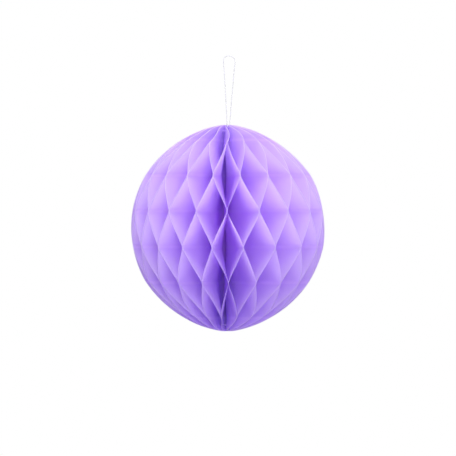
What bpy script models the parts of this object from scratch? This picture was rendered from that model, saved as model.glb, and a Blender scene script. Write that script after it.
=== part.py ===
"""A 10 cm tissue-paper honeycomb ball that hangs on a loop of thread, built from its separate pieces.

A stack of half-disc tissue leaves is glued face to face in short level lines. Fanned through a full
turn, the leaves open into cells and the two cover cards meet back to back at the rear (+Y).
The origin is the point that the loop hangs from, +Z is up, and a viewer at the front stands at -Y.
"""

import math

import bmesh
import bpy
import numpy as np
from mathutils import Vector

# Driving sizes, in metres
LEAF_COUNT = 38  # even, so that a glued joint lies at the very front
LEAF_RADIUS = 0.0502  # of the half-disc that each leaf is cut to
SPINE_INSET = 0.0032  # the half-discs are cut this much short of their middle
CORE_RADIUS = 0.0035  # open well round the axis, where the leaves' straight edges end
TIP_WIDTH = 0.0010  # width at which a leaf's pointed ends are cut off
PAPER = 0.00015
GLUE_PITCH = 0.0170  # height from one row of glued joints to the next
GLUE_STRIP = 0.0020  # height of one glued joint
GLUE_GAP = 0.0003  # room for the glue between two leaves
GLUE_DROP = 0.0005  # the pattern of joints sits this far below the ball's middle
GLUE_MARGIN = 0.0055  # least height from a leaf's tip to a glued joint

CARD = 0.0006
CARD_MARGIN = 0.0006  # a cover card is cut this much smaller than a leaf
TAPE = 0.0003
TAPE_WIDTH = 0.008
TAPE_HEIGHT = 0.020
TAPE_LEVEL = 0.018  # from the ball's middle to the middle of a tape pad
TAPE_EDGE = 0.0035  # from a pad's outer corner to the card's curved edge
FIT_GAP = 0.0003

THREAD = 0.0004  # diameter of the hanging loop
BINDING = 0.0006  # diameter of the binding and spine threads
BINDING_INSET = 0.0027  # from the leaves' straight edges out to a binding ring
BINDING_SINK = 0.0031  # from the leaves' tips down to a binding ring
HOLE_CLEARANCE = 0.0006  # round a binding thread in its punched hole
KNOT_RADIUS = 0.0012

# Loop of thread: x and height above the ball's tips, from one end at the knot round to the other.
# Its highest point is the hanging point.
LOOP_ROUTE_MM = [
    (-0.70, 0.0), (-0.72, 1.5), (-0.86, 5.0), (-1.16, 11.0), (-1.50, 17.0), (-1.86, 23.0),
    (-2.22, 28.0), (-2.40, 30.6), (-2.10, 32.2), (-1.20, 33.15), (0.0, 33.4), (1.50, 33.1),
    (2.75, 32.1), (3.18, 30.6), (2.95, 28.0), (2.50, 23.0), (1.98, 17.0), (1.45, 11.0),
    (0.98, 5.0), (0.77, 1.5), (0.75, 0.0),
]

# Worked-out places
LOOP_HEIGHT = max(height for x, height in LOOP_ROUTE_MM) / 1000
BODY_RADIUS = LEAF_RADIUS - SPINE_INSET
TIP_LEVEL = math.sqrt(LEAF_RADIUS**2 - (SPINE_INSET + CORE_RADIUS + TIP_WIDTH) ** 2)
CENTRE_Z = -(LOOP_HEIGHT + TIP_LEVEL)
KNOT_LEVEL = TIP_LEVEL - FIT_GAP - KNOT_RADIUS
BINDING_RADIUS = CORE_RADIUS + BINDING_INSET
BINDING_LEVEL = TIP_LEVEL - BINDING_SINK
CARD_MIDDLE = TAPE / 2 + FIT_GAP + CARD / 2
STACK_HALF = CARD_MIDDLE + CARD / 2 + GLUE_GAP / 2  # cards and tape, out to the first glued plane
JOINT_ROWS = int((TIP_LEVEL - GLUE_MARGIN) / GLUE_PITCH + 0.5)  # above the middle, and below it


def clear_scene():
    for obj in list(bpy.data.objects):
        bpy.data.objects.remove(obj, do_unlink=True)


def new_collection(name):
    made = bpy.data.collections.new(name)
    bpy.context.scene.collection.children.link(made)
    return made


def finish(name, colour, roughness):
    """A Principled material of one colour."""
    made = bpy.data.materials.new(name)
    made.use_nodes = True
    shader = made.node_tree.nodes["Principled BSDF"]
    shader.inputs["Base Color"].default_value = (*colour, 1.0)
    shader.inputs["Roughness"].default_value = roughness
    shader.inputs["Metallic"].default_value = 0.0
    return made


def place(obj, collection, material):
    """Moves the object into its collection and gives it its finish."""
    for owner in list(obj.users_collection):
        owner.objects.unlink(obj)
    collection.objects.link(obj)
    obj.data.materials.clear()
    obj.data.materials.append(material)
    return obj


def outline(level, margin=0.0):
    """Distance from the axis to a leaf's curved edge, at a height from the ball's middle."""
    return math.sqrt(max((LEAF_RADIUS - margin) ** 2 - level**2, 0.0)) - SPINE_INSET


def radial(turn):
    """Unit vector away from the axis. The turn starts at the rear, +Y, and runs to -X."""
    return Vector((-math.sin(turn), math.cos(turn), 0.0))


def joint_line(index, distance):
    """Point of one glued plane, at a distance from the axis, and the plane's unit normal.

    Plane 0 lies on the first card and plane LEAF_COUNT on the last. The planes between them are
    spread evenly, round the core and round the outside alike, with room left for the cards.
    """
    ends = []
    for radius in (CORE_RADIUS, BODY_RADIUS):
        first = math.asin(STACK_HALF / radius)
        ends.append(radius * radial(first + (2 * math.pi - 2 * first) * index / LEAF_COUNT))
    along = (distance - CORE_RADIUS) / (BODY_RADIUS - CORE_RADIUS)
    direction = (ends[1] - ends[0]).normalized()
    return ends[0].lerp(ends[1], along), Vector((-direction.y, direction.x, 0.0))


def joint_levels():
    """Heights of all rows of glued joints, lowest first."""
    return [GLUE_PITCH * (row + 0.5) - GLUE_DROP for row in range(-JOINT_ROWS, JOINT_ROWS)]


def levels_of(index):
    """Heights of the glued joints in one plane: every second row, changing over from plane to plane."""
    return joint_levels()[(index - LEAF_COUNT // 2 - JOINT_ROWS) % 2 :: 2]


def share_towards_next(index, level):
    """0 where leaf `index` is glued to the leaf before it, 1 where it is glued to the one after."""
    marks = []
    for middle in levels_of(index):
        marks += [(middle - GLUE_STRIP / 2, 1.0), (middle + GLUE_STRIP / 2, 1.0)]
    for middle in levels_of(index - 1):
        marks += [(middle - GLUE_STRIP / 2, 0.0), (middle + GLUE_STRIP / 2, 0.0)]
    marks.sort()
    return float(np.interp(level, [m[0] for m in marks], [m[1] for m in marks]))


def sheet_levels(tip):
    """Heights of a leaf's rows of vertices: at the creases, half way between, and round the ends."""
    joints = joint_levels()
    rows = [level + side * GLUE_STRIP / 2 for level in joints for side in (-1, 1)]
    rows += [(low + high) / 2 for low, high in zip(joints, joints[1:])]
    for side, last in ((-1, -min(rows)), (1, max(rows))):
        start, stop = math.asin(last / LEAF_RADIUS), math.asin(tip / LEAF_RADIUS)
        steps = 4
        rows += [
            side * LEAF_RADIUS * math.sin(start + (stop - start) * n / steps) for n in range(1, steps + 1)
        ]
    return sorted(rows)


def sheet(name, tip, margin, point_at, thickness, collection, material):
    """A half-disc sheet: a grid whose rows follow `point_at(distance, level)`, then its thickness."""
    rows = sheet_levels(tip)
    mesh = bpy.data.meshes.new(name)
    bm = bmesh.new()
    bmesh.ops.create_grid(bm, x_segments=1, y_segments=len(rows) - 1, size=1.0)
    for vertex in bm.verts:
        level = rows[round((vertex.co.y + 1) / 2 * (len(rows) - 1))]
        distance = CORE_RADIUS if vertex.co.x < 0 else outline(level, margin)
        vertex.co = point_at(distance, level)
    bm.to_mesh(mesh)
    bm.free()
    obj = bpy.data.objects.new(name, mesh)
    obj.location = (0.0, 0.0, CENTRE_Z)
    place(obj, collection, material)
    solid = obj.modifiers.new("thickness", "SOLIDIFY")
    solid.thickness = thickness
    solid.offset = 0.0
    return obj


def leaf(index, collection, material):
    """One tissue leaf, which swings from its neighbour on one side to its neighbour on the other."""
    half_bond = (PAPER + GLUE_GAP) / 2

    def point_at(distance, level):
        share = share_towards_next(index, level)
        before, normal_before = joint_line(index - 1, distance)
        after, normal_after = joint_line(index, distance)
        start = before + normal_before * half_bond
        end = after - normal_after * half_bond
        point = start.lerp(end, share)
        return Vector((point.x, point.y, level))

    return sheet(f"leaf_{index:02d}", TIP_LEVEL, 0.0, point_at, PAPER, collection, material)


def card(name, side, collection, material):
    """A flat cover card. The side is -1 for the first leaf's card and 1 for the last leaf's."""

    def point_at(distance, level):
        return Vector((side * CARD_MIDDLE, distance, level))

    tip = math.sqrt((LEAF_RADIUS - CARD_MARGIN) ** 2 - (SPINE_INSET + CORE_RADIUS + TIP_WIDTH) ** 2)
    return sheet(name, tip, CARD_MARGIN, point_at, CARD, collection, material)


def ring(name, level, thickness, sides, collection, material):
    """A ring of round thread about the axis."""
    bpy.ops.mesh.primitive_torus_add(
        major_segments=48,
        minor_segments=sides,
        major_radius=BINDING_RADIUS,
        minor_radius=thickness / 2,
        location=(0.0, 0.0, CENTRE_Z + level),
    )
    obj = bpy.context.active_object
    obj.name = obj.data.name = name
    obj.data.shade_smooth()
    return place(obj, collection, material)


def punch(sheets, channel):
    """Cuts the holes that a binding ring runs through."""
    for obj in sheets:
        cut = obj.modifiers.new(channel.name, "BOOLEAN")
        cut.operation = "DIFFERENCE"
        cut.object = channel


def tape_pad(name, level, collection, material):
    """A pad of double-sided tape between the two cards."""
    corner = outline(abs(level) + TAPE_HEIGHT / 2, CARD_MARGIN) - TAPE_EDGE
    bpy.ops.mesh.primitive_cube_add(size=1.0, location=(0.0, corner - TAPE_WIDTH / 2, CENTRE_Z + level))
    obj = bpy.context.active_object
    obj.name = obj.data.name = name
    obj.scale = (TAPE, TAPE_WIDTH, TAPE_HEIGHT)
    bpy.ops.object.transform_apply(location=False, rotation=False, scale=True)
    return place(obj, collection, material)


def knot(name, level, collection, material):
    """A pulled-tight knot, drawn as the ball that it fills."""
    bpy.ops.mesh.primitive_uv_sphere_add(
        segments=16, ring_count=10, radius=KNOT_RADIUS, location=(0.0, 0.0, CENTRE_Z + level)
    )
    obj = bpy.context.active_object
    obj.name = obj.data.name = name
    obj.data.shade_smooth()
    return place(obj, collection, material)


def smooth_route(points, spacing):
    """Evenly spaced points of a Catmull-Rom curve through the route's own points."""
    padded = [2 * points[0] - points[1], *points, 2 * points[-1] - points[-2]]
    fine = []
    for a, b, c, d in zip(padded, padded[1:], padded[2:], padded[3:]):
        for step in range(20):
            t = step / 20
            bend, twist = 2 * a - 5 * b + 4 * c - d, 3 * b - a - 3 * c + d
            fine.append(0.5 * (2 * b + (c - a) * t + bend * t**2 + twist * t**3))
    fine.append(points[-1])
    run = [0.0]
    for before, after in zip(fine, fine[1:]):
        run.append(run[-1] + (after - before).length)
    count = round(run[-1] / spacing) + 1
    wanted = np.linspace(0.0, run[-1], count)
    axes = [np.interp(wanted, run, [point[n] for point in fine]) for n in range(3)]
    return [Vector(point) for point in zip(*axes)]


def thread(name, points, diameter, collection, material):
    """A round thread along a list of points."""
    data = bpy.data.curves.new(name, "CURVE")
    data.dimensions = "3D"
    data.bevel_depth = diameter / 2
    data.bevel_resolution = 2
    data.use_fill_caps = True
    spline = data.splines.new("POLY")
    spline.points.add(len(points) - 1)
    for target, point in zip(spline.points, points):
        target.co = (*point, 1.0)
    spline.use_smooth = True
    return place(bpy.data.objects.new(name, data), collection, material)


def build():
    clear_scene()
    ball = new_collection("paper_honeycomb_ball")
    cutters = new_collection("cutters")
    tissue = finish("lilac_tissue", (0.66, 0.49, 0.93), 0.85)
    board = finish("violet_card", (0.50, 0.32, 0.84), 0.80)
    tape = finish("clear_tape", (0.80, 0.80, 0.76), 0.35)
    yarn = finish("violet_thread", (0.50, 0.36, 0.78), 0.60)
    white_yarn = finish("white_thread", (0.76, 0.76, 0.78), 0.60)

    leaves = [leaf(index, ball, tissue) for index in range(1, LEAF_COUNT + 1)]
    cards = [card("card_fixed", -1, ball, board), card("card_moving", 1, ball, board)]
    for name, level in (("binding_top", BINDING_LEVEL), ("binding_bottom", -BINDING_LEVEL)):
        ring(name, level, BINDING, 6, ball, yarn)
        channel = ring(f"{name}_channel", level, BINDING + 2 * HOLE_CLEARANCE, 8, cutters, yarn)
        channel.hide_render = True
        channel.display_type = "WIRE"
        punch(leaves + cards, channel)

    tape_pad("tape_upper", TAPE_LEVEL, ball, tape)
    tape_pad("tape_lower", -TAPE_LEVEL, ball, tape)
    knot("knot_top", KNOT_LEVEL, ball, yarn)
    knot("knot_bottom", -KNOT_LEVEL, ball, yarn)

    reach = KNOT_LEVEL - KNOT_RADIUS - FIT_GAP
    spine_ends = [Vector((0.0, 0.0, CENTRE_Z + side * reach)) for side in (-1, 1)]
    thread("spine_thread", spine_ends, BINDING, ball, yarn)

    foot = Vector((0.0, 0.0, CENTRE_Z + TIP_LEVEL))
    route = [foot + Vector((x, 0.0, height)) / 1000 for x, height in LOOP_ROUTE_MM]
    thread("hanging_loop", smooth_route(route, 2.5 * THREAD), THREAD, ball, white_yarn)


build()
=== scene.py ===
import math
import random

import bmesh
import bpy
import numpy as np
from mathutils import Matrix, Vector, noise


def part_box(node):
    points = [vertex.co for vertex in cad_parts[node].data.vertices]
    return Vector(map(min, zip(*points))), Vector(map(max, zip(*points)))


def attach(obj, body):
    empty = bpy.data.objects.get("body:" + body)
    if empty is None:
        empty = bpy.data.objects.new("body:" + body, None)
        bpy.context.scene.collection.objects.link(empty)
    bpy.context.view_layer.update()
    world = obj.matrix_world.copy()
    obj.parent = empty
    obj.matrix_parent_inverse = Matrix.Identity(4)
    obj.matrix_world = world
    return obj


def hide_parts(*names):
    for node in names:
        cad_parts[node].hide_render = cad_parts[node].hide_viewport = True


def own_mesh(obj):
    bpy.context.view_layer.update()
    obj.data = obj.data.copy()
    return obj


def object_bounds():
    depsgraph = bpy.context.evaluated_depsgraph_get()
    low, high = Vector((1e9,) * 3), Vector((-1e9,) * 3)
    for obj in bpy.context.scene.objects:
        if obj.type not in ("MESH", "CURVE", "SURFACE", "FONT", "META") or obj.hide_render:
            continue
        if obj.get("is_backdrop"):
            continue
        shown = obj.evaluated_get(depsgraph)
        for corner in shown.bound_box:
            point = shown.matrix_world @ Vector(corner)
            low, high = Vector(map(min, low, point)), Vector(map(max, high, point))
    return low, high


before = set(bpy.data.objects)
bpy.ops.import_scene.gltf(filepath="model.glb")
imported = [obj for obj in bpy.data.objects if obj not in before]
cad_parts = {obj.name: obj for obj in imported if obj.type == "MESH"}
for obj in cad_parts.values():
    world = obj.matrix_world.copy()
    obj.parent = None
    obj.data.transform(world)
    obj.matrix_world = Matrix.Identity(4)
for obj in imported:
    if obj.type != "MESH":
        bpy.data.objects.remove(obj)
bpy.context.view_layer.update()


# ---- Where it is seen from ---------------------------------------------------------------------
# The ball hangs at eye height and is seen level with its middle, from well back, so that its round
# outline is hardly narrowed by its own front. The viewer stands at -Y.

leaf_low, leaf_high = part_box("leaf_19")
middle = Vector((0.0, 0.0, (leaf_low.z + leaf_high.z) / 2))
tip_level = (leaf_high.z - leaf_low.z) / 2
VIEW_DISTANCE = 1.30
VIEW_ASIDE = -0.00020  # along X, from the ball's axis
VIEW_LENS = 213.0

eye = bpy.data.cameras.new("eye")
eye.lens = VIEW_LENS
eye.sensor_width = 36.0
eye.clip_start, eye.clip_end = 0.05, 20.0
viewer = bpy.data.objects.new("eye", eye)
viewer.location = middle + Vector((VIEW_ASIDE, -VIEW_DISTANCE, 0.0))
viewer.rotation_euler = (math.pi / 2, 0.0, 0.0)
bpy.context.scene.collection.objects.link(viewer)
bpy.context.scene.camera = viewer


# ---- Hanging loop ------------------------------------------------------------------------------
# One length of thin white two-ply thread, doubled, with both ends pulled into the knot at the top
# of the ball. It springs apart a little on its way up and hangs from the top of its own bend.

LOOP_THREAD = 0.0004
LOOP_LAY = 0.0016  # length in which the plies go once round each other
PLY_VALLEY = 0.72  # a thread's radius between two plies, as a share of its radius over one
loop_route_mm = [
    (-0.45, -1.2), (-0.70, 0.0), (-0.72, 1.5), (-0.86, 5.0), (-1.16, 11.0), (-1.50, 17.0), (-1.86, 23.0),
    (-2.22, 28.0), (-2.40, 30.6), (-2.10, 32.2), (-1.20, 33.15), (0.0, 33.4), (1.50, 33.1),
    (2.75, 32.1), (3.18, 30.6), (2.95, 28.0), (2.50, 23.0), (1.98, 17.0), (1.45, 11.0),
    (0.98, 5.0), (0.77, 1.5), (0.75, 0.0), (0.45, -1.2),
]


def smooth_route(points, spacing):
    """Evenly spaced points of a Catmull-Rom curve through the route's own points."""
    padded = [2 * points[0] - points[1], *points, 2 * points[-1] - points[-2]]
    steps = 20
    fine = []
    for a, b, c, d in zip(padded, padded[1:], padded[2:], padded[3:]):
        for step in range(steps):
            t = step / steps
            bend, twist = 2 * a - 5 * b + 4 * c - d, 3 * b - a - 3 * c + d
            fine.append(0.5 * (2 * b + (c - a) * t + bend * t**2 + twist * t**3))
    fine.append(points[-1])
    run = [0.0]
    for before, after in zip(fine, fine[1:]):
        run.append(run[-1] + (after - before).length)
    wanted = np.linspace(0.0, run[-1], round(run[-1] / spacing) + 1)
    axes = [np.interp(wanted, run, [point[n] for point in fine]) for n in range(3)]
    return [Vector(point) for point in zip(*axes)]


def object_of(name, bm):
    """The object that a bmesh makes, linked to the scene."""
    mesh = bpy.data.meshes.new(name)
    bm.to_mesh(mesh)
    bm.free()
    made = bpy.data.objects.new(name, mesh)
    bpy.context.scene.collection.objects.link(made)
    return made


def twisted_thread(name, points, diameter, lay, plies=2, closed=False):
    """A tube whose section has one lobe for each ply and turns along the route, once in each lay."""
    sides = 6 * plies
    count = len(points)
    bm = bmesh.new()
    rings = []
    across = None
    run = 0.0
    turns = 1.0
    if closed:
        whole = sum((points[n] - points[n - 1]).length for n in range(count))
        turns = round(whole / lay) * lay / whole
    for n, point in enumerate(points):
        ahead = points[(n + 1) % count] if closed or n + 1 < count else point
        behind = points[n - 1] if closed or n else point
        along = (ahead - behind).normalized()
        if across is None:
            across = along.orthogonal().normalized()
        across = (across - along * across.dot(along)).normalized()
        up = along.cross(across)
        turn = 2 * math.pi * turns * run / lay
        ring = []
        for side in range(sides):
            angle = 2 * math.pi * side / sides
            lobe = diameter / 2 * (PLY_VALLEY + (1 - PLY_VALLEY) * abs(math.cos(plies * angle / 2)))
            spoke = across * math.cos(angle + turn) + up * math.sin(angle + turn)
            ring.append(bm.verts.new(point + spoke * lobe))
        rings.append(ring)
        run += (points[(n + 1) % count] - point).length
    pairs = list(zip(rings, rings[1:])) + ([(rings[-1], rings[0])] if closed else [])
    for low, high in pairs:
        for side in range(sides):
            after = (side + 1) % sides
            bm.faces.new((low[side], low[after], high[after], high[side])).smooth = True
    if not closed:
        bm.faces.new(rings[0][::-1])
        bm.faces.new(rings[-1])
    bmesh.ops.recalc_face_normals(bm, faces=bm.faces)
    return object_of(name, bm)


def feed(tree, target, value):
    """Link an input to a socket, or set it to a plain value."""
    if isinstance(value, bpy.types.NodeSocket):
        tree.links.new(value, target)
    else:
        target.default_value = value


def add_node(tree, kind, **values):
    """A shader node. Each value feeds the input of that name, or else is one of the node's settings."""
    node = tree.nodes.new(kind)
    for name, value in values.items():
        target = node.inputs.get(name.replace("_", " "))
        if target is None:
            setattr(node, name, value)
        else:
            feed(tree, target, value)
    return node


def maths(tree, operation, *values):
    """The output of a Math node, whose inputs the values feed in turn."""
    node = add_node(tree, "ShaderNodeMath", operation=operation)
    for target, value in zip(node.inputs, values):
        feed(tree, target, value)
    return node.outputs[0]


def mix_colours(tree, factor, first, second):
    """The output of a colour mix. Each of the three is a socket or a plain value."""
    node = add_node(tree, "ShaderNodeMix", data_type="RGBA")
    for target, value in ((node.inputs[0], factor), (node.inputs[6], first), (node.inputs[7], second)):
        feed(tree, target, value)
    return node.outputs[2]


def new_group(name, inputs, outputs):
    """A shader node group with named inputs and outputs, and its two end nodes."""
    group = bpy.data.node_groups.new(name, "ShaderNodeTree")
    for wanted, way in ((inputs, "INPUT"), (outputs, "OUTPUT")):
        for label, kind in wanted.items():
            group.interface.new_socket(label, in_out=way, socket_type=f"NodeSocket{kind}")
    return group, group.nodes.new("NodeGroupInput").outputs, group.nodes.new("NodeGroupOutput").inputs


def fibre_group():
    """Soft fibre: two tones mottled by fine grain and broad cloud, and the height of the grain."""
    group, given, result = new_group(
        "soft_fibre",
        {
            "Vector": "Vector", "Dark": "Color", "Light": "Color",
            "Grain Scale": "Float", "Cloud Scale": "Float",
        },
        {"Colour": "Color", "Height": "Float"},
    )
    grain, cloud = (
        add_node(
            group, "ShaderNodeTexNoise",
            Vector=given["Vector"], Scale=given[size], Detail=detail, Roughness=0.62,
        ).outputs["Fac"]
        for size, detail in (("Grain Scale", 5.0), ("Cloud Scale", 3.0))
    )
    both = maths(group, "ADD", grain, cloud)
    spread = add_node(group, "ShaderNodeMapRange", Value=both, From_Min=0.72, From_Max=1.28)
    tone = mix_colours(group, spread.outputs["Result"], given["Dark"], given["Light"])
    feed(group, result["Colour"], tone)
    feed(group, result["Height"], grain)
    return group


soft_fibre = fibre_group()


def new_finish(name, roughness):
    """A material with its Principled shader, which the caller colours."""
    made = bpy.data.materials.new(name)
    made.use_nodes = True
    shader = made.node_tree.nodes["Principled BSDF"]
    shader.inputs["Roughness"].default_value = roughness
    return made, made.node_tree, shader


def roughen(tree, shader, height, strength, distance):
    """Bump from a height that changes over the surface, fed to the shader. Returns the bumped normal."""
    bump = add_node(tree, "ShaderNodeBump", Strength=strength, Distance=distance, Height=height)
    feed(tree, shader.inputs["Normal"], bump.outputs["Normal"])
    return bump.outputs["Normal"]


def thread_finish(name, dark, light):
    """Spun thread: fuzzy, with a soft sheen along its plies."""
    made, tree, shader = new_finish(name, 0.62)
    place = add_node(tree, "ShaderNodeTexCoord")
    fibre = add_node(
        tree, "ShaderNodeGroup", node_tree=soft_fibre, Vector=place.outputs["Object"],
        Dark=dark, Light=light, Grain_Scale=9000.0, Cloud_Scale=900.0,
    )
    feed(tree, shader.inputs["Base Color"], fibre.outputs["Colour"])
    roughen(tree, shader, fibre.outputs["Height"], strength=0.35, distance=0.00003)
    shader.inputs["Sheen Weight"].default_value = 0.3
    shader.inputs["Sheen Roughness"].default_value = 0.5
    return made


loop_foot = Vector((0.0, 0.0, leaf_high.z))
loop_points = smooth_route(
    [loop_foot + Vector((x, 0.0, height)) / 1000 for x, height in loop_route_mm], LOOP_LAY / 6
)
loop = twisted_thread("loop_of_thread", loop_points, LOOP_THREAD, LOOP_LAY)
loop.data.materials.append(thread_finish("white_thread", (0.46, 0.47, 0.49, 1.0), (0.62, 0.63, 0.65, 1.0)))
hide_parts("hanging_loop")
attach(loop, "hanging_loop")


# ---- Tissue leaves -----------------------------------------------------------------------------
# Thirty-eight half-discs of dyed tissue paper, glued face to face in short level strips whose rows
# change over from leaf to leaf. Fanned right round, each leaf swings from its neighbour on one side
# to its neighbour on the other, and the gaps between them open into cells. They meet at the spine.

LEAVES = 38
LEAF_RADIUS = 0.0502  # of the half-disc that each leaf is cut to
SPINE_INSET = 0.0032  # the half-discs are cut this much short of their middle
PAPER = 0.00010
GLUE = 0.00004  # between two leaves
STRIP_PITCH = 0.0170  # height from one row of glue strips to the next
STRIP_HEIGHT = 0.0011
STRIP_DROP = 0.0005  # the rows lie this far below the ball's middle
STRIP_ROWS = 3  # above the middle, and below it
SPINE_EDGE = 0.0007  # from the axis to the leaves' straight edges
KNOT_ROOM = 0.0020  # the same beside the upper knot, which the ball swings under
LOWER_KNOT_ROOM = 0.00125  # and beside the lower one
KNOT_REACH = 0.0055  # from the tips down to where the straight edges are back at the spine
CORE_RADIUS = 0.0035
BODY_RADIUS = LEAF_RADIUS - SPINE_INSET
STACK_HALF = 0.0012  # both cards and their tape, out to the first glued plane
LEAN_TURN = 0.42  # radians by which the front is twisted to one side, for each metre of height
LEAN_LEVEL = -0.026  # the height at which it isn't
SIDE_TURN = 0.045  # radians by which both sides are twisted the other way
TURN_ONSET = 3.0  # how soon the twists come on, away from the cards, which are flat
STRAY_TURN = 0.006  # radians by which a glued strip may stand off its even place
SPINE_SWIRL = 0.58  # radians by which the sheets curl round where they crowd in at the spine
SWIRL_REACH = 0.022  # from the axis out to where that curl has gone
TIP_TWIST = 0.13  # radians by which the front's uppermost joint is twisted back again
TWIST_LEVEL = 0.040  # the height where that begins
SIDE_SLACK = 0.0005  # reach that is missing on the side where the sheets are drawn out least
TIP_SLACK = 0.0009  # and towards the tips, where they bow
TIP_FADE = (0.026, 0.044)  # heights between which that comes on
BOW_SOFTNESS = 0.18  # share of the swing from strip to strip that is eased, the rest being straight
CRINKLE = 0.00032  # depth of the paper's shallow waves
CRINKLE_OUT, CRINKLE_UP = 90, 70  # how close together they are, outwards and upwards
CRINKLE_STEP = 7.3  # keeps one leaf's waves apart from the next one's
CRINKLE_REACH = 0.02  # from the axis out to where they have their full depth
LEAF_ROWS = 132
LEAF_COLUMNS = 18
EDGE_CROWDING = 1.25  # above 1, the columns crowd together towards the curved edge
LIGHT_THROUGH = 0.72  # share of the scattered light that comes out on the tissue's other side
OUTER_TONES = (0.735, 0.570, 0.925, 1.0), (0.765, 0.610, 0.935, 1.0)
# Painted light: far in towards the spine the tissue is coloured paler, against the shade where the crowded
# sheets meet.
PAINTED_DEEP_LIGHT_TONES = (0.885, 0.660, 1.0, 1.0), (0.910, 0.700, 1.0, 1.0)
PAINTED_DEEP_LIGHT_WIDTH = 0.046  # from the curved edge in to where the paler tones, painted light against the shade between the crowded sheets, have taken over
# Painted light: a band along the curved rim, where light reaches the outer part of each cell.
RIM_PAINTED_LIGHT_TONE, RIM_PAINTED_LIGHT_WIDTH = (0.755, 0.610, 0.935, 1.0), 0.0085
# Painted highlight: a pale line along the cut edge, where light shines through the paper from both sides.
EDGE_PAINTED_HIGHLIGHT_TONE, EDGE_PAINTED_HIGHLIGHT_WIDTH = (0.90, 0.80, 0.99, 1.0), 0.0004
STRIP_PAINTED_LIGHT_TONE, STRIP_PAINTED_LIGHT_SHARE = (0.880, 0.740, 0.985, 1.0), 0.35  # paler colour at the glue strips, painted light that offsets the shade of the doubled paper there, and the share of it that shows

chance = random.Random(38)
strip_levels = [STRIP_PITCH * (row + 0.5) - STRIP_DROP for row in range(-STRIP_ROWS, STRIP_ROWS)]


def levels_of(plane):
    """Heights of the glue strips in one plane: every second row, changing over from plane to plane."""
    return strip_levels[(plane - LEAVES // 2 - STRIP_ROWS) % 2 :: 2]


strays = [
    [chance.uniform(-STRAY_TURN, STRAY_TURN) for _ in levels_of(plane)] for plane in range(LEAVES + 1)
]


def outline(level):
    """Distance from the axis to a leaf's curved edge, at a height from the ball's middle."""
    return math.sqrt(max(LEAF_RADIUS**2 - level**2, 0.0)) - SPINE_INSET


def straight_edge(level):
    """Distance from the axis to a leaf's straight edge, which stands back to clear the knots."""
    near = min(max((abs(level) - tip_level + KNOT_REACH) / KNOT_REACH, 0.0), 1.0)
    room = KNOT_ROOM if level > 0 else LOWER_KNOT_ROOM
    return SPINE_EDGE + (room - SPINE_EDGE) * near * near * (3 - 2 * near)


def radial(turn):
    """Unit vector away from the axis. The turn starts at the rear, +Y, and runs to -X."""
    return Vector((-math.sin(turn), math.cos(turn), 0.0))


def plane_turn(plane, radius):
    """Where a glued plane crosses a circle about the axis, with room left for the cards."""
    first = math.asin(STACK_HALF / radius) if radius > STACK_HALF else 0.0
    return first + (2 * math.pi - 2 * first) * plane / LEAVES


def glued_point(plane, distance, level):
    """Point of one glued plane at a distance from the axis, with the strays of its own strips."""
    if distance < CORE_RADIUS:
        inner, outer = SPINE_EDGE, CORE_RADIUS
    else:
        inner, outer = CORE_RADIUS, BODY_RADIUS
    start = inner * radial(plane_turn(plane, inner))
    end = outer * radial(plane_turn(plane, outer))
    point = start.lerp(end, (distance - inner) / (outer - inner))
    aside = math.sin(2 * math.pi * plane / LEAVES) ** 2
    lean = -LEAN_TURN * (level - LEAN_LEVEL) * (1 - aside) + SIDE_TURN * (1 - level / LEAF_RADIUS) * aside
    twist = TIP_TWIST * max((level - TWIST_LEVEL) / (tip_level - TWIST_LEVEL), 0.0) * (1 - aside)
    stray = float(np.interp(level, levels_of(plane), strays[plane]))
    swirl = -SPINE_SWIRL * max(1 - distance / SWIRL_REACH, 0.0) ** 2
    free = min(TURN_ONSET * math.sin(math.pi * plane / LEAVES), 1.0)
    turn = (lean + twist + stray + swirl) * free
    return Vector((
        point.x * math.cos(turn) - point.y * math.sin(turn),
        point.x * math.sin(turn) + point.y * math.cos(turn),
        level,
    ))


def share_towards_next(index, level):
    """0 where the leaf is glued to the one before it, 1 where it is glued to the one after."""
    marks = []
    for side, plane in ((1.0, index), (0.0, index - 1)):
        for strip in levels_of(plane):
            marks += [(strip - STRIP_HEIGHT / 2, side), (strip + STRIP_HEIGHT / 2, side)]
    marks.sort()
    share = float(np.interp(level, [mark[0] for mark in marks], [mark[1] for mark in marks]))
    eased = share * share * (3 - 2 * share)
    return (1 - BOW_SOFTNESS) * share + BOW_SOFTNESS * eased


def leaf_levels():
    """Heights of a leaf's rows of vertices: closer at the tips, and one at each edge of a strip."""
    rows = [tip_level * math.sin(math.pi * (row / LEAF_ROWS - 0.5)) for row in range(LEAF_ROWS + 1)]
    edges = [strip + side * STRIP_HEIGHT / 2 for strip in strip_levels for side in (-1, 1)]
    clear = STRIP_HEIGHT / 2
    rows = [level for level in rows if min(abs(level - edge) for edge in edges) > clear]
    return sorted(rows + edges)


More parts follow.
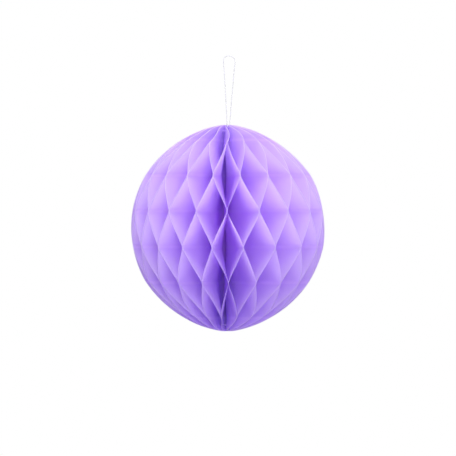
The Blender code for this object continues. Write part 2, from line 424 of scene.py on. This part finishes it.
def leaf_row(index, level):
    """Points of one leaf at a height, from the straight edge out, each with its place in the flat sheet."""
    half_bond = (PAPER + GLUE) / 2
    loose_side = max(0.0, -math.sin(plane_turn(index - 0.5, BODY_RADIUS)))
    share = share_towards_next(index, level)
    inner, outer = straight_edge(level), outline(level)
    near_tip = min(max((abs(level) - TIP_FADE[0]) / (TIP_FADE[1] - TIP_FADE[0]), 0.0), 1.0)
    slack = SIDE_SLACK * loose_side + TIP_SLACK * (1 + loose_side) * near_tip
    drawn = (outer - inner - slack) / (outer - inner)
    wave_room = min(abs(level - strip) for strip in strip_levels) / (STRIP_PITCH / 2)
    row = []
    for column in range(LEAF_COLUMNS + 1):
        along = column / LEAF_COLUMNS
        distance = inner + (outer - inner) * (1 - (1 - along) ** EDGE_CROWDING)
        reach = inner + (distance - inner) * drawn
        before = glued_point(index - 1, reach, level)
        after = glued_point(index, reach, level)
        across = (after - before).normalized()
        place = before.lerp(after, share) + across * half_bond * (1 - 2 * share)
        spot = Vector((distance * CRINKLE_OUT, level * CRINKLE_UP, index * CRINKLE_STEP))
        place += across * CRINKLE * noise.noise(spot) * wave_room * min(distance / CRINKLE_REACH, 1.0)
        row.append((place, (distance, level)))
    return row


def leaf_piece(index):
    """One leaf: a grid of its rows, laid out in the sheet's flat measures, and the paper's thickness."""
    bm = bmesh.new()
    flat = bm.loops.layers.uv.new("sheet")
    grid = [
        [(bm.verts.new(place + middle), on_sheet) for place, on_sheet in leaf_row(index, level)]
        for level in leaf_levels()
    ]
    for low, high in zip(grid, grid[1:]):
        for corners in zip(low, low[1:], high[1:], high):
            face = bm.faces.new([corner[0] for corner in corners])
            face.smooth = True
            for loop_corner, corner in zip(face.loops, corners):
                loop_corner[flat].uv = corner[1]
    made = object_of(f"tissue_leaf_{index:02d}", bm)
    thickness = made.modifiers.new("thickness", "SOLIDIFY")
    thickness.thickness = PAPER
    thickness.offset = 0.0
    return made


def applied(obj):
    """The object with its modifiers made part of its mesh."""
    bpy.context.view_layer.update()
    evaluated = obj.evaluated_get(bpy.context.evaluated_depsgraph_get())
    mesh = bpy.data.meshes.new_from_object(evaluated)
    mesh.name = obj.name
    obj.modifiers.clear()
    obj.data = mesh
    return obj


def sheet_marks_group():
    """Masks from a leaf's flat measures, which place painted light: its cut edge, its rim, how far in from
    the curved edge a spot lies, and its strips.
    """
    group, given, result = new_group(
        "sheet_marks",
        {"Sheet": "Vector", "Edge Width": "Float", "Rim Width": "Float", "Depth Width": "Float"},
        {"Cut Edge": "Float", "Rim": "Float", "Depth": "Float", "Strip": "Float"},
    )
    apart = add_node(group, "ShaderNodeSeparateXYZ", Vector=given["Sheet"])
    distance, level = apart.outputs["X"], apart.outputs["Y"]
    across = maths(group, "ADD", distance, SPINE_INSET)
    squares = maths(group, "ADD", maths(group, "POWER", across, 2.0), maths(group, "POWER", level, 2.0))
    from_edge = maths(group, "SUBTRACT", LEAF_RADIUS, maths(group, "SQRT", squares))
    for mask, width, start, end in (
        ("Cut Edge", "Edge Width", 1.0, 0.0),
        ("Rim", "Rim Width", 1.0, 0.0),
        ("Depth", "Depth Width", 0.0, 1.0),
    ):
        fade = add_node(
            group, "ShaderNodeMapRange", interpolation_type="SMOOTHSTEP", Value=from_edge,
            From_Min=0.0, From_Max=given[width], To_Min=start, To_Max=end,
        )
        feed(group, result[mask], fade.outputs["Result"])
    whole_rows = 10  # enough of them below the leaf that no height is negative
    raised = maths(group, "ADD", level, STRIP_DROP + whole_rows * STRIP_PITCH)
    within_row = maths(group, "FRACT", maths(group, "DIVIDE", raised, STRIP_PITCH))
    off_middle = maths(group, "ABSOLUTE", maths(group, "SUBTRACT", within_row, 0.5))
    strip = add_node(
        group, "ShaderNodeMapRange", interpolation_type="SMOOTHSTEP",
        Value=maths(group, "MULTIPLY", off_middle, STRIP_PITCH),
        From_Min=0.3 * STRIP_HEIGHT, From_Max=0.9 * STRIP_HEIGHT, To_Min=1.0, To_Max=0.0,
    )
    feed(group, result["Strip"], strip.outputs["Result"])
    return group


sheet_marks = sheet_marks_group()


def mix_shaders(tree, factor, first, second):
    """The output of a shader mix: the first where the factor is 0, and the second where it is 1."""
    node = add_node(tree, "ShaderNodeMixShader", Fac=factor)
    feed(tree, node.inputs[1], first)
    feed(tree, node.inputs[2], second)
    return node.outputs["Shader"]


def tissue_finish():
    """Dyed tissue: it scatters light from its face and lets even more through to the other side. Its colour
    also holds painted light: paler far in towards the spine, in a band along the rim, at the glue strips and
    along the cut edge.
    """
    made, tree, shader = new_finish("lilac_tissue", 0.85)
    sheet = add_node(tree, "ShaderNodeUVMap", uv_map="sheet").outputs["UV"]
    outer, deep_light = (
        add_node(
            tree, "ShaderNodeGroup", node_tree=soft_fibre, Vector=sheet,
            Dark=dark, Light=light, Grain_Scale=2600.0, Cloud_Scale=130.0,
        )
        for dark, light in (OUTER_TONES, PAINTED_DEEP_LIGHT_TONES)
    )
    marks = add_node(
        tree, "ShaderNodeGroup", node_tree=sheet_marks, Sheet=sheet,
        Edge_Width=EDGE_PAINTED_HIGHLIGHT_WIDTH, Rim_Width=RIM_PAINTED_LIGHT_WIDTH, Depth_Width=PAINTED_DEEP_LIGHT_WIDTH,
    )
    # Painted light: paler far in from the curved edge, where the crowded sheets shade each other.
    colour = mix_colours(tree, marks.outputs["Depth"], outer.outputs["Colour"], deep_light.outputs["Colour"])
    # Painted light: a band along the rim, where the cells' outer walls are lit.
    colour = mix_colours(tree, marks.outputs["Rim"], colour, RIM_PAINTED_LIGHT_TONE)
    # Painted light: paler glue strips, against the shade of the doubled paper.
    strip_light = maths(tree, "MULTIPLY", marks.outputs["Strip"], STRIP_PAINTED_LIGHT_SHARE)
    colour = mix_colours(tree, strip_light, colour, STRIP_PAINTED_LIGHT_TONE)
    # Painted highlight along the cut edge.
    colour = mix_colours(tree, marks.outputs["Cut Edge"], colour, EDGE_PAINTED_HIGHLIGHT_TONE)
    feed(tree, shader.inputs["Base Color"], colour)
    shader.inputs["Specular IOR Level"].default_value = 0.25
    bumped = roughen(tree, shader, outer.outputs["Height"], strength=0.25, distance=0.00004)
    through = add_node(tree, "ShaderNodeBsdfTranslucent", Color=colour, Normal=bumped)
    lit = mix_shaders(tree, LIGHT_THROUGH, shader.outputs["BSDF"], through.outputs["BSDF"])
    inside = add_node(tree, "ShaderNodeNewGeometry").outputs["Backfacing"]
    passing = add_node(tree, "ShaderNodeBsdfTransparent")
    sided = mix_shaders(tree, inside, lit, passing.outputs["BSDF"])
    feed(tree, tree.nodes["Material Output"].inputs["Surface"], sided)
    return made


tissue = tissue_finish()
for index in range(1, LEAVES + 1):
    leaf = applied(leaf_piece(index))
    leaf.data.materials.append(tissue)
    node = f"leaf_{index:02d}"
    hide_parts(node)
    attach(leaf, node)
    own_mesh(leaf)


# ---- Cover cards -------------------------------------------------------------------------------
# Two half-discs of dyed board, cut a little smaller than the leaves. The first leaf is glued to one
# and the last leaf to the other, and opening the ball right out brings them back to back at the rear.

BOARD = 0.00085
BOARD_GAP = 0.00040  # between the two, which the tape fills
BOARD_SPINE = 0.0035  # from the axis to their straight edges
BOARD_MARGIN = 0.0006  # by which they are smaller than the leaves all round
BOARD_CORNER = 0.0015
BOARD_BEVEL = 0.00012
BOARD_DYE = (0.00006, 0.00016)  # depths under the faces between which the dye gives out
CARD_STEPS = 60  # from the middle of the curved edge to each end of it
BINDING_RADIUS = 0.0062
BINDING_SINK = 0.0031  # from the tips to the punched holes
PUNCHED_HOLE = 0.0012


def cut_piece(name, outline_yz, corners, corner_radius, near, far, bevel):
    """A flat piece between two places in X, cut to an outline with some of its corners rounded."""
    bm = bmesh.new()
    rim = [bm.verts.new((near, y, z)) for y, z in outline_yz]
    bm.faces.new(rim)
    bmesh.ops.bevel(
        bm, geom=[rim[corner] for corner in corners], offset=corner_radius,
        segments=6, profile=0.5, affect="VERTICES",
    )
    pushed = bmesh.ops.extrude_face_region(bm, geom=bm.faces[:])["geom"]
    far_rim = [part for part in pushed if isinstance(part, bmesh.types.BMVert)]
    bmesh.ops.translate(bm, vec=(far - near, 0.0, 0.0), verts=far_rim)
    bmesh.ops.recalc_face_normals(bm, faces=bm.faces)
    made = object_of(name, bm)
    rounding = made.modifiers.new("rounding", "BEVEL")
    rounding.width = bevel
    rounding.segments = 2
    rounding.limit_method = "ANGLE"
    rounding.angle_limit = math.radians(40)
    return made


def board_finish():
    """Dyed greyboard: smooth violet faces, and a paler, streaky core where it was cut through."""
    made, tree, shader = new_finish("violet_board", 0.75)
    place = add_node(tree, "ShaderNodeTexCoord").outputs["Object"]
    streaks = add_node(tree, "ShaderNodeMapping", Vector=place, Scale=(9.0, 1.0, 1.0))
    face, core = (
        add_node(
            tree, "ShaderNodeGroup", node_tree=soft_fibre, Vector=vector,
            Dark=dark, Light=light, Grain_Scale=grain, Cloud_Scale=cloud,
        )
        for vector, dark, light, grain, cloud in (
            (place, (0.33, 0.16, 0.66, 1.0), (0.39, 0.21, 0.74, 1.0), 1700.0, 110.0),
            (streaks.outputs["Vector"], (0.42, 0.27, 0.72, 1.0), (0.55, 0.40, 0.82, 1.0), 1200.0, 300.0),
        )
    )
    apart = add_node(tree, "ShaderNodeSeparateXYZ", Vector=place)
    off_middle = maths(tree, "SUBTRACT", maths(tree, "ABSOLUTE", apart.outputs["X"]), (BOARD_GAP + BOARD) / 2)
    cut = add_node(
        tree, "ShaderNodeMapRange", interpolation_type="SMOOTHSTEP",
        Value=maths(tree, "ABSOLUTE", off_middle),
        From_Min=BOARD / 2 - BOARD_DYE[1], From_Max=BOARD / 2 - BOARD_DYE[0], To_Min=1.0, To_Max=0.0,
    )
    colour = mix_colours(tree, cut.outputs["Result"], face.outputs["Colour"], core.outputs["Colour"])
    feed(tree, shader.inputs["Base Color"], colour)
    roughen(tree, shader, core.outputs["Height"], strength=0.30, distance=0.00004)
    shader.inputs["Specular IOR Level"].default_value = 0.3
    return made


board = board_finish()
card_radius = LEAF_RADIUS - BOARD_MARGIN
card_angle = math.acos((SPINE_INSET + BOARD_SPINE) / card_radius)
card_angles = [card_angle * step / CARD_STEPS for step in range(-CARD_STEPS, CARD_STEPS + 1)]
card_outline = [
    (card_radius * math.cos(angle) - SPINE_INSET, middle.z + card_radius * math.sin(angle))
    for angle in card_angles
]
for node, side in (("card_fixed", -1), ("card_moving", 1)):
    near, far = side * BOARD_GAP / 2, side * (BOARD_GAP / 2 + BOARD)
    card = cut_piece(f"cover_{node}", card_outline, (0, -1), BOARD_CORNER, near, far, BOARD_BEVEL)
    for up in (-1, 1):
        bpy.ops.mesh.primitive_cylinder_add(
            vertices=24, radius=PUNCHED_HOLE / 2, depth=4 * BOARD, rotation=(0.0, math.pi / 2, 0.0),
            location=((near + far) / 2, BINDING_RADIUS, middle.z + up * (tip_level - BINDING_SINK)),
        )
        punch = bpy.context.active_object
        hole = card.modifiers.new("punched_hole", "BOOLEAN")
        hole.operation = "DIFFERENCE"
        hole.object = punch
        applied(card)
        bpy.data.objects.remove(punch)
    card.data.materials.clear()
    card.data.materials.append(board)
    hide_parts(node)
    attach(card, "core" if node == "card_fixed" else node)


# ---- Tape pads ---------------------------------------------------------------------------------
# Two short lengths of milky double-sided foam tape, stuck on the fixed card near its curved edge.
# They hold the two cards together when the ball is open, and peel off the other one to fold it.

TAPE = 0.00036
TAPE_CORNER = 0.0008
TAPE_BEVEL = 0.00008


def tape_finish():
    """Foam tape: milky and a little waxy, with fine closed cells."""
    made, tree, shader = new_finish("milky_tape", 0.42)
    place = add_node(tree, "ShaderNodeTexCoord")
    cells = add_node(
        tree, "ShaderNodeGroup", node_tree=soft_fibre, Vector=place.outputs["Object"],
        Dark=(0.70, 0.69, 0.64, 1.0), Light=(0.84, 0.84, 0.80, 1.0), Grain_Scale=5200.0, Cloud_Scale=420.0,
    )
    feed(tree, shader.inputs["Base Color"], cells.outputs["Colour"])
    roughen(tree, shader, cells.outputs["Height"], strength=0.4, distance=0.00003)
    shader.inputs["Subsurface Weight"].default_value = 0.15
    shader.inputs["Subsurface Radius"].default_value = (0.0006, 0.0006, 0.0005)
    return made


milky_tape = tape_finish()
for node in ("tape_upper", "tape_lower"):
    low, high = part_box(node)
    pad_outline = [(low.y, low.z), (high.y, low.z), (high.y, high.z), (low.y, high.z)]
    pad = cut_piece(f"{node}_pad", pad_outline, range(4), TAPE_CORNER, -TAPE / 2, TAPE / 2, TAPE_BEVEL)
    applied(pad)
    pad.data.materials.append(milky_tape)
    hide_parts(node)
    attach(pad, "core")


# ---- Binding rings and spine thread ------------------------------------------------------------
# Violet two-ply thread. Near each end a ring of it runs once through every leaf and card, and keeps
# their straight edges together; a third length runs down the middle and carries the ball from below.

BINDING_THREAD = 0.00036
BINDING_LAY = 0.0013
SPINE_THREAD = 0.00050
SPINE_LAY = 0.0018
RING_STEPS = 150
SPINE_STEPS = 160  # from the middle of the spine thread to each end of it
KNOT_SINK = 0.0015  # from the tips to the middles of the knots
KNOT_RADIUS = 0.0012

violet_thread = thread_finish("violet_thread", (0.46, 0.30, 0.76, 1.0), (0.62, 0.46, 0.88, 1.0))
for node, up in (("binding_top", 1), ("binding_bottom", -1)):
    height = Vector((0.0, 0.0, up * (tip_level - BINDING_SINK)))
    turns = [2 * math.pi * step / RING_STEPS for step in range(RING_STEPS)]
    circle = [middle + height + BINDING_RADIUS * radial(turn) for turn in turns]
    binding = twisted_thread(f"{node}_ring", circle, BINDING_THREAD, BINDING_LAY, closed=True)
    binding.data.materials.append(violet_thread)
    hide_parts(node)
    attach(binding, "core")

spine_reach = tip_level - KNOT_SINK - KNOT_RADIUS / 3
spine_levels = [spine_reach * step / SPINE_STEPS for step in range(-SPINE_STEPS, SPINE_STEPS + 1)]
spine_points = [middle + Vector((0.0, 0.0, level)) for level in spine_levels]
spine = twisted_thread("spine_of_thread", spine_points, SPINE_THREAD, SPINE_LAY)
spine.data.materials.append(violet_thread)
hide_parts("spine_thread")
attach(spine, "core")


# ---- Knots -------------------------------------------------------------------------------------
# Overhand knots pulled tight at both ends of the spine thread. The upper one also holds the two ends
# of the hanging loop, and turns with it, because the ball spins freely under its knot.

KNOT_THREAD = 0.00062
KNOT_WIND = 0.00029  # scale of the knot's three turns
KNOT_RISE = 1.6  # how far the strands pass over and under each other, on that scale
KNOT_STEPS = 90

for node, body, up in (("knot_top", "knot", 1), ("knot_bottom", "core", -1)):
    centre = middle + Vector((0.0, 0.0, up * (tip_level - KNOT_SINK)))
    turns = [2 * math.pi * step / KNOT_STEPS for step in range(KNOT_STEPS)]
    wound = [
        centre + KNOT_WIND * Vector((
            math.sin(turn) + 2 * math.sin(2 * turn),
            math.cos(turn) - 2 * math.cos(2 * turn),
            -up * KNOT_RISE * math.sin(3 * turn),
        ))
        for turn in turns
    ]
    tied = twisted_thread(f"{node}_tied", wound, KNOT_THREAD, BINDING_LAY, closed=True)
    tied.data.materials.append(violet_thread)
    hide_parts(node)
    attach(tied, body)


# ---- Studio ------------------------------------------------------------------------------------
# A white room with a pale matt floor. A broad lamp stands behind the viewer and another hangs over the
# ball, with a weak one at each side. The floor looks pale, but throws up only dim violet light, which
# paints shade onto the ball's underside.

FLOOR_SIZE = 3.0
FLOOR_LEVEL = -0.55
# Painted shade: the floor throws back only this dim violet, which darkens the ball's underside.
FLOOR_SHADE_TINT = (0.36, 0.28, 0.60, 1.0)
ROOM_LIGHT = 0.96
ROOM_BELOW = (0.50, 0.50, 0.51, 1.0)
ROOM_ABOVE = (1.0, 1.0, 1.0, 1.0)


def floor_finish():
    """Pale matt board where it is looked at, and a dim violet tint for the light that it throws back, which
    paints shade on the ball.
    """
    made, tree, shader = new_finish("matt_floor", 0.9)
    place = add_node(tree, "ShaderNodeTexCoord")
    fibre = add_node(
        tree, "ShaderNodeGroup", node_tree=soft_fibre, Vector=place.outputs["Object"],
        Dark=(0.84, 0.84, 0.84, 1.0), Light=(0.88, 0.88, 0.88, 1.0), Grain_Scale=60.0, Cloud_Scale=3.0,
    )
    feed(tree, shader.inputs["Base Color"], fibre.outputs["Colour"])
    # Painted shade: every ray but the camera's sees the dim violet tint, so the ball's underside gets less
    # light.
    shade_tint = add_node(tree, "ShaderNodeBsdfDiffuse", Color=FLOOR_SHADE_TINT)
    seen = add_node(tree, "ShaderNodeLightPath").outputs["Is Camera Ray"]
    either = mix_shaders(tree, seen, shade_tint.outputs["BSDF"], shader.outputs["BSDF"])
    feed(tree, tree.nodes["Material Output"].inputs["Surface"], either)
    return made


bpy.ops.mesh.primitive_plane_add(size=FLOOR_SIZE, location=(0.0, 0.0, FLOOR_LEVEL))
floor = bpy.context.active_object
floor.name = "floor"
floor.data.materials.append(floor_finish())
floor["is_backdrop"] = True


def soft_box(name, place, width, height, power):
    """A soft lamp at a place from the ball's middle, turned to face it."""
    light = bpy.data.lights.new(name, "AREA")
    light.shape = "RECTANGLE"
    light.size, light.size_y = width, height
    light.energy = power
    made = bpy.data.objects.new(name, light)
    made.location = middle + Vector(place)
    made.rotation_euler = (-Vector(place)).to_track_quat("-Z", "Y").to_euler()
    bpy.context.scene.collection.objects.link(made)


soft_box("left_box", (-0.85, -0.45, 0.30), width=0.5, height=0.8, power=0.9)
soft_box("right_box", (0.85, -0.45, 0.30), width=0.5, height=0.8, power=1.2)
soft_box("top_box", (0.0, -0.30, 0.85), width=0.6, height=0.5, power=7.5)
soft_box("front_box", (0.12, -1.36, 0.16), width=0.6, height=0.5, power=11.0)


def room_light():
    """A room that is paler above than below, and plain white where it is looked at."""
    made = bpy.data.worlds.new("studio")
    made.use_nodes = True
    tree = made.node_tree
    around = add_node(tree, "ShaderNodeTexCoord")
    apart = add_node(tree, "ShaderNodeSeparateXYZ", Vector=around.outputs["Generated"])
    rise = add_node(tree, "ShaderNodeMapRange", Value=apart.outputs["Z"], From_Min=-0.35, From_Max=0.65)
    room = tree.nodes["Background"]
    room.inputs["Strength"].default_value = ROOM_LIGHT
    feed(tree, room.inputs["Color"], mix_colours(tree, rise.outputs["Result"], ROOM_BELOW, ROOM_ABOVE))
    backdrop = add_node(tree, "ShaderNodeBackground", Color=(1.0, 1.0, 1.0, 1.0), Strength=1.0)
    seen = add_node(tree, "ShaderNodeLightPath").outputs["Is Camera Ray"]
    either = mix_shaders(tree, seen, room.outputs["Background"], backdrop.outputs["Background"])
    feed(tree, tree.nodes["World Output"].inputs["Surface"], either)
    return made


bpy.context.scene.world = room_light()

scene = bpy.context.scene
scene.view_settings.view_transform = "Standard"
scene.cycles.max_bounces = 24
scene.cycles.diffuse_bounces = 16
scene.cycles.transmission_bounces = 24
scene.cycles.transparent_max_bounces = 64

low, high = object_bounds()
